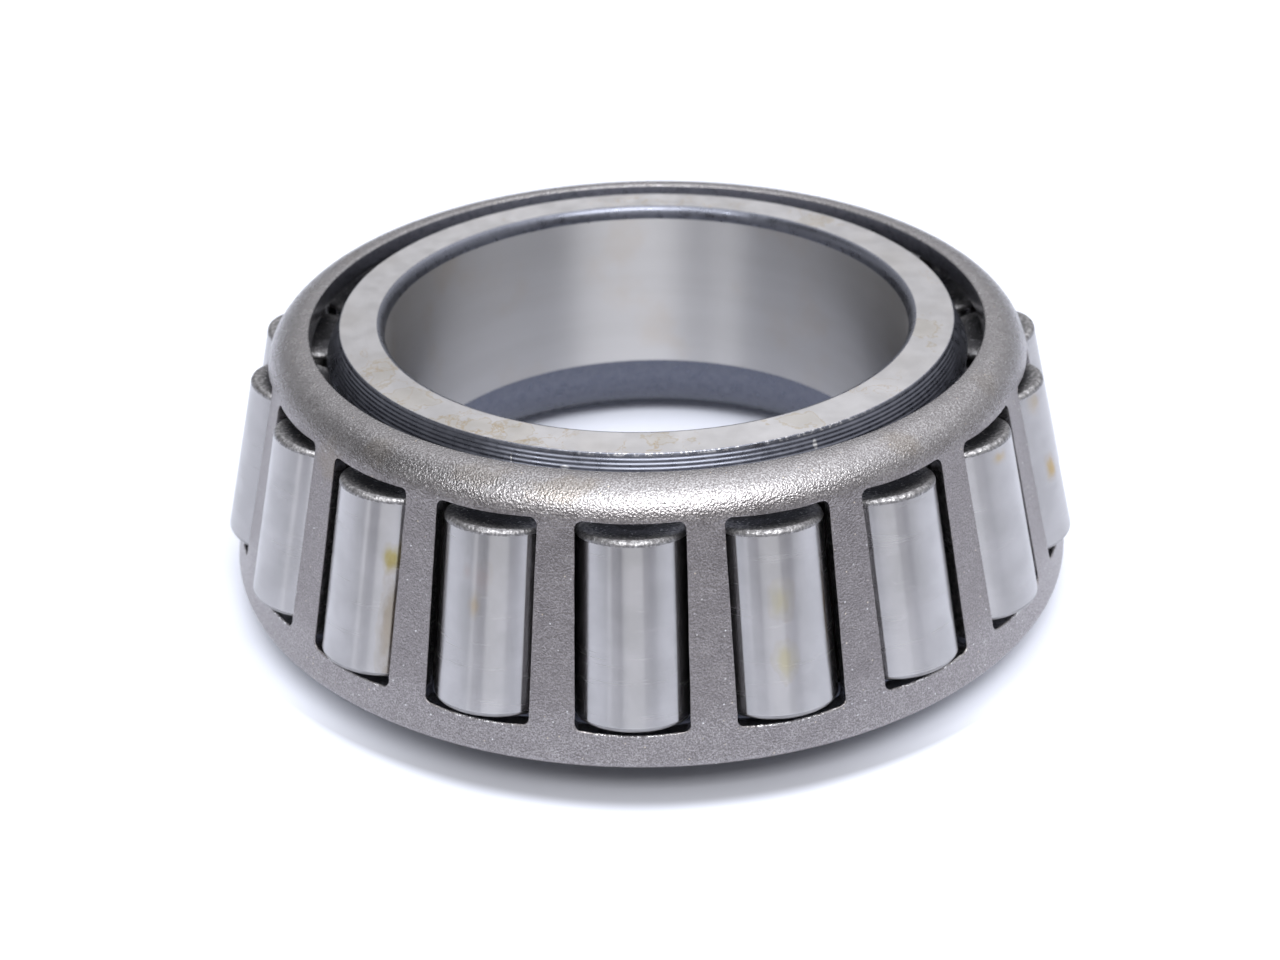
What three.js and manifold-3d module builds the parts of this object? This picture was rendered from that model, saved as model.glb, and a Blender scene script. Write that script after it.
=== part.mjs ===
// Cone assembly of a single-row tapered roller bearing: inner ring, pressed steel
// window cage and a full set of tapered rollers. Millimetres, +Z up along the bore
// axis towards the small end; the origin is the centre of the bore in the plane of
// the inner ring's back face, so the assembly stands on z = 0.
//
// The roller axes and the inner and outer envelopes of the rollers all meet in one
// apex on the bore axis. The raceway runs parallel to the inner envelope.

import * as THREE from "three";
import { mergeVertices } from "three/addons/utils/BufferGeometryUtils.js";
import Module from "manifold-3d";

const wasm = await Module();
wasm.setup();

const DEG = Math.PI / 180;

// ---- layout and rollers ----
const ROLLERS = 19;
const ENVELOPE_ANGLE = 14.83 * DEG; // half angle of the rollers' outer envelope
const ROLLER_HALF_ANGLE = 1.8 * DEG;
const AXIS_ANGLE = ENVELOPE_ANGLE - ROLLER_HALF_ANGLE; // roller axis to bore axis
const ROLLER_FOOT_R = 47.8; // envelope radius at the large end
const ROLLER_FOOT_Z = 8.5; // height of that point
const ROLLER_LENGTH = 18.6;
const LARGE_END_CHAMFER = 0.5;
const SMALL_END_CHAMFER = 0.55;

const RING_SEGMENTS = ROLLERS * 4; // facets round the inner ring and cage
const ROLLER_SEGMENTS = 24;

const APEX_Z = ROLLER_FOOT_Z + ROLLER_FOOT_R / Math.tan(ENVELOPE_ANGLE);
// distances of a roller's two ends from the apex, along its axis
const LARGE_END =
  ((APEX_Z - ROLLER_FOOT_Z) * Math.cos(ROLLER_HALF_ANGLE)) / Math.cos(ENVELOPE_ANGLE);
const SMALL_END = LARGE_END - ROLLER_LENGTH;

// A roller's radius before chamfering, at a distance from the apex along its axis.
const rollerRadius = (distance) => distance * Math.tan(ROLLER_HALF_ANGLE);

// [r, z] of a point at a distance from the apex along the roller axis and an offset
// outwards, square to that axis.
const fromApex = (distance, offset) => [
  distance * Math.sin(AXIS_ANGLE) + offset * Math.cos(AXIS_ANGLE),
  APEX_Z - distance * Math.cos(AXIS_ANGLE) + offset * Math.sin(AXIS_ANGLE),
];

const stationAngle = (i) => -Math.PI / 2 + (2 * Math.PI * i) / ROLLERS;

// ---- helpers ----
// A solid of revolution about Z from a closed or axis-to-axis [r, z] profile.
function revolve(profile, segments) {
  const points = profile.map(([r, z]) => new THREE.Vector2(r, z));
  return new THREE.LatheGeometry(points, segments).rotateX(Math.PI / 2);
}

const closed = (profile) => [...profile, profile[0]];

// Points on an arc with separate radii along r and z; angles in radians.
function arc([centerR, centerZ], [radiusR, radiusZ], from, to, steps) {
  const points = [];
  for (let i = 0; i <= steps; i++) {
    const angle = from + ((to - from) * i) / steps;
    points.push([
      centerR + radiusR * Math.cos(angle),
      centerZ + radiusZ * Math.sin(angle),
    ]);
  }
  return points;
}

function toManifold(geometry) {
  const bare = geometry.clone();
  // vertices only merge once they differ in nothing but position
  bare.deleteAttribute("normal");
  bare.deleteAttribute("uv");
  const merged = mergeVertices(bare, 1e-4);
  return new wasm.Manifold(
    new wasm.Mesh({
      numProp: 3,
      vertProperties: Float32Array.from(merged.attributes.position.array),
      triVerts: Uint32Array.from(merged.index.array),
    }),
  );
}

function toGeometry(solid) {
  const { vertProperties, triVerts } = solid.getMesh();
  const positions = Float32Array.from(vertProperties);
  const geometry = new THREE.BufferGeometry();
  geometry.setAttribute("position", new THREE.BufferAttribute(positions, 3));
  geometry.setIndex(new THREE.BufferAttribute(Uint32Array.from(triVerts), 1));
  geometry.computeVertexNormals();
  return geometry;
}

// ---- inner ring ----
const BORE_R = 28.575; // 57.15 mm (2.25 in) bore
const RING_WIDTH = 30.05;
const BACK_CORNER_R = 8; // rounded corner that clears the shaft's fillet
const FRONT_CORNER_R = 0.77; // extent of the elliptical bore corner along r
const FRONT_CORNER_Z = 1.4; // and along z
const FRONT_FACE_R = 33.46;
const FRONT_EDGE_R = 0.15; // bevel round the front face, along r
const FRONT_EDGE_Z = 0.2; // and along z
const SMALL_RIB_R = 35;
const SMALL_RIB_Z = 26.8; // where the flared outside reaches the small rib's full radius
const SMALL_RIB_BEVEL = 0.25;
const LARGE_RIB_R = 42.5;
const LARGE_RIB_BEVEL = 0.3; // edge next to the rollers
const LARGE_RIB_CHAMFER = 1; // edge at the back face
const RACE_CLEAR = 0.05;
const RELIEF_DEPTH = 0.3; // grinding reliefs at both ends of the raceway
const RELIEF_FLOOR = 0.7; // where a relief's floor ends, from the rib
const RELIEF_END = 1.1; // where the raceway starts, from the rib
const LARGE_RIB_CLEAR = 0.15; // rollers' large ends to the large rib
const SMALL_RIB_CLEAR = 0.5; // rollers' small ends to the small rib

function innerRing() {
  // point at a depth below the rollers' inner line
  const underRoller = (distance, depth) =>
    fromApex(distance, -rollerRadius(distance) - depth);
  // point at radius r in the plane square to the roller axis
  const onSquareFace = (distance, r) =>
    fromApex(distance, (r - distance * Math.sin(AXIS_ANGLE)) / Math.cos(AXIS_ANGLE));
  const largeFace = LARGE_END + LARGE_RIB_CLEAR;
  const smallFace = SMALL_END - SMALL_RIB_CLEAR;
  const largeEdgeZ = onSquareFace(largeFace, LARGE_RIB_R)[1];
  const smallEdgeZ = onSquareFace(smallFace, SMALL_RIB_R)[1];
  const profile = [
    // back corner, then up the bore to the front corner
    ...arc(
      [BORE_R + BACK_CORNER_R, BACK_CORNER_R],
      [BACK_CORNER_R, BACK_CORNER_R],
      270 * DEG,
      180 * DEG,
      7,
    ),
    ...arc(
      [BORE_R + FRONT_CORNER_R, RING_WIDTH - FRONT_CORNER_Z],
      [FRONT_CORNER_R, FRONT_CORNER_Z],
      180 * DEG,
      90 * DEG,
      3,
    ),
    // front face and small rib
    [FRONT_FACE_R - FRONT_EDGE_R, RING_WIDTH],
    [FRONT_FACE_R, RING_WIDTH - FRONT_EDGE_Z],
    [SMALL_RIB_R, SMALL_RIB_Z],
    [SMALL_RIB_R, smallEdgeZ + SMALL_RIB_BEVEL],
    onSquareFace(smallFace, SMALL_RIB_R - SMALL_RIB_BEVEL),
    // raceway between its reliefs
    underRoller(smallFace, RELIEF_DEPTH),
    underRoller(smallFace + RELIEF_FLOOR, RELIEF_DEPTH),
    underRoller(smallFace + RELIEF_END, RACE_CLEAR),
    underRoller(largeFace - RELIEF_END, RACE_CLEAR),
    underRoller(largeFace - RELIEF_FLOOR, RELIEF_DEPTH),
    underRoller(largeFace, RELIEF_DEPTH),
    // large rib, down to the back face
    onSquareFace(largeFace, LARGE_RIB_R - LARGE_RIB_BEVEL),
    [LARGE_RIB_R, largeEdgeZ - LARGE_RIB_BEVEL],
    [LARGE_RIB_R, LARGE_RIB_CHAMFER],
    [LARGE_RIB_R - LARGE_RIB_CHAMFER, 0],
  ];
  return revolve(closed(profile).reverse(), RING_SEGMENTS);
}

// ---- one tapered roller, along +Z from its large end at z = 0 ----
function taperedRoller() {
  const radius = (z) => rollerRadius(LARGE_END - z);
  const chamferZ = ROLLER_LENGTH - SMALL_END_CHAMFER;
  return revolve(
    [
      [0, 0],
      [radius(0) - LARGE_END_CHAMFER, 0],
      [radius(LARGE_END_CHAMFER), LARGE_END_CHAMFER],
      [radius(chamferZ), chamferZ],
      [radius(ROLLER_LENGTH) - SMALL_END_CHAMFER, ROLLER_LENGTH],
      [0, ROLLER_LENGTH],
    ],
    ROLLER_SEGMENTS,
  );
}

// ---- cage ----
const CAGE_ANGLE = 15 * DEG; // wall to bore axis
const CAGE_SIN = Math.sin(CAGE_ANGLE);
const CAGE_COS = Math.cos(CAGE_ANGLE);
const CAGE_FOOT_Z = 3.96;
const CAGE_FOOT_R = 47.43; // outer radius at the foot
const CAGE_TOP_Z = 30;
const CAGE_RIM_R = 36.55; // inner radius of the turned-in rim
const CAGE_RIM_BEVEL = 0.2;
const CAGE_SHEET = 2.2; // sheet thickness
const CAGE_BEND_R = 4; // outer bend radius of the shoulder
const FOOT_FACE_INSET = 0.45; // outer edge of the foot's face, in from CAGE_FOOT_R
const FOOT_BEVEL_INSET = 0.1; // top of the bevel outside it, in from CAGE_FOOT_R
const FOOT_BEVEL_RISE = 0.37; // and its height above the foot
const FOOT_INNER_LIFT = 0.57; // raises the foot's inner edge from the sheet's square end

const cageOuterR = (z) => CAGE_FOOT_R - (z - CAGE_FOOT_Z) * Math.tan(CAGE_ANGLE);

function cageShell() {
  // the shoulder bend is tangent to both the wall and the top
  const bendZ = CAGE_TOP_Z - CAGE_BEND_R;
  const bendR = cageOuterR(bendZ + CAGE_BEND_R * CAGE_SIN) - CAGE_BEND_R * CAGE_COS;
  const bend = (radius, from, to, steps) =>
    arc([bendR, bendZ], [radius, radius], from, to, steps);
  const profile = [
    [
      CAGE_FOOT_R - CAGE_SHEET * CAGE_COS,
      CAGE_FOOT_Z - CAGE_SHEET * CAGE_SIN + FOOT_INNER_LIFT,
    ],
    [CAGE_FOOT_R - FOOT_FACE_INSET, CAGE_FOOT_Z],
    [CAGE_FOOT_R - FOOT_BEVEL_INSET, CAGE_FOOT_Z + FOOT_BEVEL_RISE],
    ...bend(CAGE_BEND_R, CAGE_ANGLE, 90 * DEG, 5),
    [CAGE_RIM_R + CAGE_RIM_BEVEL, CAGE_TOP_Z],
    [CAGE_RIM_R, CAGE_TOP_Z - CAGE_RIM_BEVEL],
    [CAGE_RIM_R, CAGE_TOP_Z - CAGE_SHEET],
    ...bend(CAGE_BEND_R - CAGE_SHEET, 90 * DEG, CAGE_ANGLE, 2),
  ];
  return revolve(closed(profile), RING_SEGMENTS);
}

const WINDOW_TOP_Z = 27.35; // at the window's corners
const WINDOW_FOOT_Z = 7.6;
const WINDOW_TOP_WIDTH = 9.98; // narrower than the rollers, so the cage keeps them
const WINDOW_FOOT_WIDTH = 10.72;
const WINDOW_CORNER = 0.7;
const WINDOW_TOP_BOW = 0.24; // the middle of the top edge hangs this much lower
const WINDOW_FOOT_BOW = 0.3; // the middle of the foot edge lies this much lower
const WINDOW_FLARE = 0.03; // windows widen inwards by this share per mm of depth
const CUTTER_DEPTH = 7;
const CUTTER_INWARD = 3.6; // how much of that lies inside the wall's outer face

// Cutter for one window: wider at the foot, with rounded corners, bowed ends and
// sides that flare inwards to clear the rollers' widest part.
function windowCutter() {
  const top = (WINDOW_TOP_Z - WINDOW_FOOT_Z) / CAGE_COS; // measured along the wall
  const footX = WINDOW_FOOT_WIDTH / 2;
  const topX = WINDOW_TOP_WIDTH / 2;
  const corner = WINDOW_CORNER;
  const shape = new THREE.Shape();
  // a curve's middle moves by half its control point's offset, so bows are doubled
  shape.moveTo(-footX + corner, 0);
  shape.quadraticCurveTo(0, -2 * WINDOW_FOOT_BOW, footX - corner, 0);
  shape.quadraticCurveTo(footX, 0, footX, corner);
  shape.lineTo(topX, top - corner);
  shape.quadraticCurveTo(topX, top, topX - corner, top);
  shape.quadraticCurveTo(0, top - 2 * WINDOW_TOP_BOW, -topX + corner, top);
  shape.quadraticCurveTo(-topX, top, -topX, top - corner);
  shape.lineTo(-footX, corner);
  shape.quadraticCurveTo(-footX, 0, -footX + corner, 0);
  const cutter = new THREE.ExtrudeGeometry(shape, {
    depth: CUTTER_DEPTH,
    bevelEnabled: false,
    curveSegments: 2,
  });
  cutter.translate(0, 0, -CUTTER_INWARD);
  const vertices = cutter.attributes.position;
  for (let i = 0; i < vertices.count; i++) {
    vertices.setX(i, vertices.getX(i) * (1 - WINDOW_FLARE * vertices.getZ(i)));
  }
  const ontoWall = new THREE.Matrix4().makeBasis(
    new THREE.Vector3(0, 1, 0), // round the cage
    new THREE.Vector3(-CAGE_SIN, 0, CAGE_COS), // up the wall
    new THREE.Vector3(CAGE_COS, 0, CAGE_SIN), // out of the wall
  );
  ontoWall.setPosition(cageOuterR(WINDOW_FOOT_Z), 0, WINDOW_FOOT_Z);
  return cutter.applyMatrix4(ontoWall);
}

function cage() {
  let solid = toManifold(cageShell());
  const cutter = windowCutter();
  for (let i = 0; i < ROLLERS; i++) {
    solid = solid.subtract(toManifold(cutter.clone().rotateZ(stationAngle(i))));
  }
  return toGeometry(solid);
}

// ---- materials ----
const steel = (color, roughness) =>
  new THREE.MeshStandardMaterial({ color, roughness, metalness: 1 });
const groundSteel = () => steel(0xb9b8bb, 0.28);
const rollerSteel = () => steel(0xc4c5ca, 0.2);
const cageSteel = () => steel(0x8f8b8a, 0.5);

// ---- assembly ----
function namedMesh(name, geometry, material) {
  const mesh = new THREE.Mesh(geometry, material);
  mesh.name = name;
  return mesh;
}

const bearing = new THREE.Group();
bearing.add(namedMesh("inner_ring", innerRing(), groundSteel()));
bearing.add(namedMesh("cage", cage(), cageSteel()));

const rollerShape = taperedRoller();
const [seatR, seatZ] = fromApex(LARGE_END, 0);
for (let i = 0; i < ROLLERS; i++) {
  const name = "roller_" + String(i + 1).padStart(2, "0");
  const roller = namedMesh(name, rollerShape, rollerSteel());
  roller.position.set(seatR, 0, seatZ);
  roller.rotation.y = -AXIS_ANGLE;
  const station = new THREE.Group();
  station.rotation.z = stationAngle(i);
  station.add(roller);
  bearing.add(station);
}

export default bearing;
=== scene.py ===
"""Tapered roller bearing: inner ring, pressed cage and 19 rollers, on a white sheet.

The bore axis is Z. The ring's large rib stands at z = 0 and its small rib is at the top,
z = WIDTH. The front is -Y, where the camera is. Sizes are in mm unless a comment says metres.
"""

import math
from collections import namedtuple
from functools import cached_property

import bmesh
import bpy
import numpy as np
from mathutils import Matrix, Vector


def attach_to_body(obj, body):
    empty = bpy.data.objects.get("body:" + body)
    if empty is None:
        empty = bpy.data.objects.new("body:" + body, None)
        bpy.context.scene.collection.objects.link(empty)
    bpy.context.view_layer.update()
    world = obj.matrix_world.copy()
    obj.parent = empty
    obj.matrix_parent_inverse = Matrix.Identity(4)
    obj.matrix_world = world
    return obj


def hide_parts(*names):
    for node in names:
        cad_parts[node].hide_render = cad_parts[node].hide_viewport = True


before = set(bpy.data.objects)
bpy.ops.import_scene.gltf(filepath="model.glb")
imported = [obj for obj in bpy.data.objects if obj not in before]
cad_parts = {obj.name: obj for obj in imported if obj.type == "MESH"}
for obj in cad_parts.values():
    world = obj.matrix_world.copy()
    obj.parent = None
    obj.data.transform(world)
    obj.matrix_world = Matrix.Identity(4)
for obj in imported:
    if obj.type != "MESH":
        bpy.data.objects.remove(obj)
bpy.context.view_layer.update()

# ---------------------------------------------------------------- driving dimensions
MM = 0.001
DEG = math.pi / 180

BORE_R, WIDTH = 28.575, 30.05

# The rollers are cones that share one apex on the bore axis.
ROLLER_COUNT = 19
OUTER_ANGLE = 14.83 * DEG  # bore axis to the rollers' outermost lines
ROLLER_HALF = 1.8 * DEG  # half angle of a roller's cone
TILT = OUTER_ANGLE - ROLLER_HALF  # bore axis to a roller's axis
FOOT_R, FOOT_Z = 47.8, 8.5  # outermost point of the large end
ROLLER_LENGTH = 18.6
APEX_Z = FOOT_Z + FOOT_R / math.tan(OUTER_ANGLE)
# distances from the apex to a roller's ends, along its axis
LARGE_END = (APEX_Z - FOOT_Z) * math.cos(ROLLER_HALF) / math.cos(OUTER_ANGLE)
SMALL_END = LARGE_END - ROLLER_LENGTH

# The cage is a conical wall with a shoulder bent inwards at the top.
CAGE_TILT = 15 * DEG
CAGE_FOOT_Z, CAGE_FOOT_R, CAGE_TOP_Z = 3.96, 47.43, 30.0
RIM_R = 36.55  # opening inside the shoulder
SHEET = 2.2
SHOULDER_R = 4.0  # outside radius of the bend
SHOULDER_Z = CAGE_TOP_Z - SHOULDER_R  # centre of the bend
BEND_START_Z = SHOULDER_Z + SHOULDER_R * math.sin(CAGE_TILT)
SHOULDER_CENTRE_R = (
    CAGE_FOOT_R
    - (BEND_START_Z - CAGE_FOOT_Z) * math.tan(CAGE_TILT)
    - SHOULDER_R * math.cos(CAGE_TILT)
)

# cage windows
WINDOW_TOP_Z, WINDOW_FOOT_Z = 27.35, 7.6
WINDOW_TOP_WIDTH, WINDOW_FOOT_WIDTH = 9.98, 10.72
WINDOW_CORNER = 0.7
TOP_BOW, FOOT_BOW = 0.24, 0.30  # sag of the window's top and foot edges
WINDOW_FLARE = 0.03  # share of width lost for each mm outwards


def on_axis(along, out):
    """(r, z) at a distance from the apex along a roller's axis, and outwards from that axis"""
    return (
        along * math.sin(TILT) + out * math.cos(TILT),
        APEX_Z - along * math.cos(TILT) + out * math.sin(TILT),
    )


def station_angle(i):
    """azimuth of roller and window i; the first is at the front"""
    return -math.pi / 2 + 2 * math.pi * i / ROLLER_COUNT


# ---------------------------------------------------------------- mesh helpers
def make_mesh(name, verts, faces, materials, slots, sharp, merge=None):
    """slots: material index of each face; sharp: degrees; merge: distance in mm"""
    mesh = bpy.data.meshes.new(name)
    mesh.from_pydata((np.asarray(verts, float) * MM).tolist(), [], [tuple(f) for f in faces])
    for material in materials:
        mesh.materials.append(material)
    mesh.polygons.foreach_set("material_index", np.asarray(slots, np.int32))
    if merge:
        bm = bmesh.new()
        bm.from_mesh(mesh)
        bmesh.ops.remove_doubles(bm, verts=bm.verts, dist=merge * MM)
        bmesh.ops.recalc_face_normals(bm, faces=bm.faces)
        bm.to_mesh(mesh)
        bm.free()
    mesh.polygons.foreach_set("use_smooth", np.ones(len(mesh.polygons), bool))
    mesh.set_sharp_from_angle(angle=sharp * DEG)
    mesh.update()
    return link_object(name, mesh)


def link_object(name, data):
    ob = bpy.data.objects.new(name, data)
    bpy.context.scene.collection.objects.link(ob)
    return ob


class Profile:
    """Points (r, z), and the material slot of the segment that leaves each point."""

    def __init__(self):
        self.points, self.slots = [], []

    def add(self, points, slot, then=None):
        """then: slot of the segment leaving the last point, where it differs"""
        self.points += points
        self.slots += [slot] * len(points)
        if then is not None:
            self.slots[-1] = then


def lathe(name, points, slots, segments, materials, closed, sharp):
    """Turn a profile about Z. An open profile starts and ends on the axis."""
    turn = np.arange(segments) * 2 * math.pi / segments
    cosines, sines = np.cos(turn), np.sin(turn)
    verts, rows = [], []
    for r, z in points:
        if r < 1e-9:
            rows.append([len(verts)])
            verts.append((0, 0, z))
        else:
            rows.append(list(range(len(verts), len(verts) + segments)))
            verts += np.stack([r * cosines, r * sines, np.full(segments, z)], 1).tolist()
    faces, face_slots = [], []
    count = len(points)
    for i in range(count if closed else count - 1):
        near, far = rows[i], rows[(i + 1) % count]
        for k in range(segments):
            k2 = (k + 1) % segments
            if len(near) == 1:
                face = (near[0], far[k2], far[k])
            elif len(far) == 1:
                face = (near[k], near[k2], far[0])
            else:
                face = (near[k], near[k2], far[k2], far[k])
            faces.append(face)
            face_slots.append(slots[i])
    return make_mesh(name, verts, faces, materials, face_slots, sharp)


def arc(centre_r, centre_z, radius_r, radius_z, start, end, steps):
    """points of an elliptical arc, angles in degrees"""
    points = []
    for i in range(steps + 1):
        angle = (start + (end - start) * i / steps) * DEG
        points.append((centre_r + radius_r * math.cos(angle), centre_z + radius_z * math.sin(angle)))
    return points


# ---------------------------------------------------------------- shader helpers
class Net:
    """Adds nodes to a tree. A value may be a number, a tuple or another node's output."""

    def __init__(self, tree):
        self.tree = tree
        tree.nodes.clear()

    def new(self, kind):
        return self.tree.nodes.new("ShaderNode" + kind)

    def put(self, socket, value):
        if isinstance(value, bpy.types.NodeSocket):
            self.tree.links.new(value, socket)
            return
        if hasattr(value, "__len__") and len(socket.default_value) == 4 and len(value) == 3:
            value = (*value, 1)
        socket.default_value = value

    def operation(self, kind, operation, values):
        node = self.new(kind)
        node.operation = operation
        for socket, value in zip(node.inputs, values):
            self.put(socket, value)
        return node.outputs

    def math(self, operation, *values):
        return self.operation("Math", operation, values)[0]

    def add(self, a, b):
        return self.math("ADD", a, b)

    def sub(self, a, b):
        return self.math("SUBTRACT", a, b)

    def mul(self, a, b):
        return self.math("MULTIPLY", a, b)

    def above(self, value, limit):
        return self.math("GREATER_THAN", value, limit)

    def vector(self, operation, *values):
        return self.operation("VectorMath", operation, values)[0]

    def length(self, vector):
        return self.operation("VectorMath", "LENGTH", [vector])[1]

    def xyz(self, vector):
        node = self.new("SeparateXYZ")
        self.put(node.inputs[0], vector)
        return node.outputs

    def stretch(self, *axes):
        """vector from three axes, each a value or a (value, scale) pair"""
        node = self.new("CombineXYZ")
        for socket, axis in zip(node.inputs, axes):
            self.put(socket, self.mul(*axis) if isinstance(axis, tuple) else axis)
        return node.outputs[0]

    def noise(self, at, scale, detail, rough, distort=0.0):
        node = self.new("TexNoise")
        self.put(node.inputs["Vector"], at)
        node.inputs["Scale"].default_value = scale
        node.inputs["Detail"].default_value = detail
        node.inputs["Roughness"].default_value = rough
        node.inputs["Distortion"].default_value = distort
        return node.outputs[0]

    def voronoi(self, at, scale, feature="F1", output="Distance"):
        node = self.new("TexVoronoi")
        node.feature = feature
        self.put(node.inputs["Vector"], at)
        node.inputs["Scale"].default_value = scale
        return node.outputs[output]

    def step(self, value, span, to=(0.0, 1.0)):
        """smooth step while value crosses span, going from to[0] to to[1]"""
        node = self.new("MapRange")
        node.interpolation_type = "SMOOTHSTEP"
        for socket, x in zip(node.inputs, (value, *span, *to)):
            self.put(socket, x)
        return node.outputs[0]

    def near(self, value, centre, span):
        """1 where value is at centre, falling to 0 as its distance crosses span"""
        distance = self.math("ABSOLUTE", self.sub(value, centre))
        return self.step(distance, span=span, to=(1.0, 0.0))

    def waver(self, value, noise, amount):
        """value made irregular by a noise centred on zero"""
        return self.add(value, self.mul(self.sub(noise, 0.5), amount))

    def mix(self, under, over, by, amount=None, mode="MIX"):
        """lay colour over on colour under, by a mask that amount scales down"""
        node = self.new("Mix")
        node.data_type = "RGBA"
        node.blend_type = mode
        self.put(node.inputs[0], by if amount is None else self.mul(by, amount))
        self.put(node.inputs[6], under)
        self.put(node.inputs[7], over)
        return node.outputs[2]


class Surface(Net):
    """A material's tree. Positions in it are object coordinates, in metres."""

    def __init__(self, name):
        self.material = bpy.data.materials.new(name)
        self.material.use_nodes = True
        super().__init__(self.material.node_tree)
        self.out = self.new("OutputMaterial")
        self.shader = self.new("BsdfPrincipled")
        self.put(self.out.inputs[0], self.shader.outputs[0])
        self.pos = self.new("TexCoord").outputs["Object"]

    @cached_property
    def axes(self):
        return tuple(self.xyz(self.pos))

    @cached_property
    def angle(self):
        """angle about Z"""
        x, y, _ = self.axes
        return self.math("ARCTAN2", y, x)

    @cached_property
    def radius(self):
        x, y, _ = self.axes
        return self.math("SQRT", self.add(self.mul(x, x), self.mul(y, y)))

    @property
    def height(self):
        return self.axes[2]

    def shifted(self, offset):
        return self.vector("ADD", self.pos, offset)

    def attribute(self, name, output="Fac"):
        node = self.new("Attribute")
        node.attribute_type = "OBJECT"
        node.attribute_name = name
        return node.outputs[output]

    def blob(self, centre, radii, wobble, seed=0.0, scale=500.0, soft=0.35):
        """soft irregular patch, centre and radii in mm: its mask, and reach, 1 at its edge"""
        offset = self.vector("SUBTRACT", self.pos, tuple(c * MM for c in centre))
        reach = self.length(self.vector("DIVIDE", offset, tuple(r * MM for r in radii)))
        ragged = self.noise(self.shifted((seed, seed * 2.3, 0.0)), scale=scale, detail=3, rough=0.6)
        reach = self.waver(reach, ragged, wobble)
        return self.step(reach, span=(1.0 - soft, 1.0), to=(1.0, 0.0)), reach

    def finish(self, colour, rough, height, strength, depth_mm, aniso=None):
        """metal with a bump of the given height field"""
        inputs = self.shader.inputs
        self.put(inputs["Base Color"], colour)
        self.put(inputs["Roughness"], rough)
        self.put(inputs["Metallic"], 1.0)
        bump = self.new("Bump")
        bump.inputs["Strength"].default_value = strength
        bump.inputs["Distance"].default_value = depth_mm * MM
        self.put(bump.inputs["Height"], height)
        self.put(inputs["Normal"], bump.outputs[0])
        if aniso is not None:
            self.put(inputs["Anisotropic"], aniso)
            tangent = self.new("Tangent")
            tangent.direction_type = "RADIAL"
            tangent.axis = "Z"
            self.put(inputs["Tangent"], tangent.outputs[0])
            # the lines run round the axis, so the highlight is drawn out across them
            inputs["Anisotropic Rotation"].default_value = 0.25
        return self.material


# ---------------------------------------------------------------- ring materials
# dried oil on the top face: centre x, y and radii along x, y
FACE_STAINS = [
    (-23.5, -22.7, 3.0, 2.2), (-15.9, -27.8, 4.6, 1.8), (-11.4, -29.2, 2.2, 2.4),
    (2.4, -30.8, 2.6, 1.3), (15.7, -26.8, 2.6, 1.6), (29.7, -6.8, 1.8, 3.4),
    (19.0, 23.6, 2.4, 1.6), (-26.1, -16.5, 1.8, 3.0),
]
# bright marks on the small rib: centre, radii
RIB_MARKS = [
    ((17.10, -29.35, 28.9), (0.30, 0.30, 1.6)),
    ((-11.6, -31.9, 28.6), (0.10, 0.3, 0.8)),
    ((-6.4, -33.4, 28.6), (0.6, 0.3, 0.22)),
]


def face_oil(net, colour):
    """thin irregular tide marks round a few patches, each with a faint fill"""
    fill = edge = None
    for k, (x, y, radius_x, radius_y) in enumerate(FACE_STAINS):
        mask, reach = net.blob(
            (x, y, WIDTH), (radius_x, radius_y, 2), wobble=3.0,
            seed=0.013 * (k + 1), scale=480, soft=0.6,
        )
        tide = net.mul(net.near(reach, 0.86, span=(0.0, 0.16)), 1.0)
        fill = mask if fill is None else net.math("MAXIMUM", fill, mask)
        edge = tide if edge is None else net.math("MAXIMUM", edge, tide)
    colour = net.mix(colour, over=(0.50, 0.44, 0.30), by=fill, amount=0.22)
    return net.mix(colour, over=(0.44, 0.345, 0.18), by=edge, amount=0.42)


def face_material():
    """flat faces of the ring: ground, light warm grey, with dried oil stains on top"""
    net = Surface("ring_ground_face")
    rings = net.stretch((net.angle, 3.0), (net.radius, 9000.0), 0.0)
    lines = net.noise(rings, scale=1.0, detail=4, rough=0.6)
    mottle = net.noise(net.pos, scale=420, detail=4, rough=0.6)
    colour = net.mix(
        (0.570, 0.562, 0.568), over=(0.642, 0.634, 0.645), by=net.step(mottle, span=(0.3, 0.7))
    )
    lined = net.step(lines, span=(0.35, 0.65))
    colour = net.mix(colour, over=(0.56, 0.55, 0.55), by=lined, amount=0.25)
    colour = face_oil(net, colour)
    # tan veins: level lines of a slow noise, broken up along their length
    slow = net.noise(net.pos, scale=210, detail=5, rough=0.62, distort=0.6)
    breaks = net.noise(net.shifted((0.3, 0.1, 0.0)), scale=90, detail=2, rough=0.5)
    kept = net.step(breaks, span=(0.46, 0.60))
    vein = net.mul(net.near(slow, 0.53, span=(0.002, 0.012)), kept)
    colour = net.mix(colour, over=(0.46, 0.34, 0.18), by=vein, amount=0.55)
    wide = net.noise(net.pos, scale=130, detail=3, rough=0.5)
    haze = net.step(wide, span=(0.5, 0.75), to=(0.0, 0.14))
    colour = net.mix(colour, over=(0.52, 0.47, 0.39), by=haze)
    rough = net.step(mottle, span=(0.3, 0.7), to=(0.34, 0.44))
    grit = net.noise(net.pos, scale=6500, detail=2, rough=0.5)
    relief = net.add(lines, net.mul(grit, 0.6))
    # a few straight scratches
    drawn = net.stretch((net.xyz(net.pos)[0], 500), (net.xyz(net.pos)[1], 14), 0.0)
    scratch = net.voronoi(drawn, scale=1.0, feature="DISTANCE_TO_EDGE")
    relief = net.sub(relief, net.step(scratch, span=(0.0, 0.012), to=(0.6, 0.0)))
    return net.finish(colour, rough, relief, strength=0.30, depth_mm=0.012, aniso=0.3)


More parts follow.
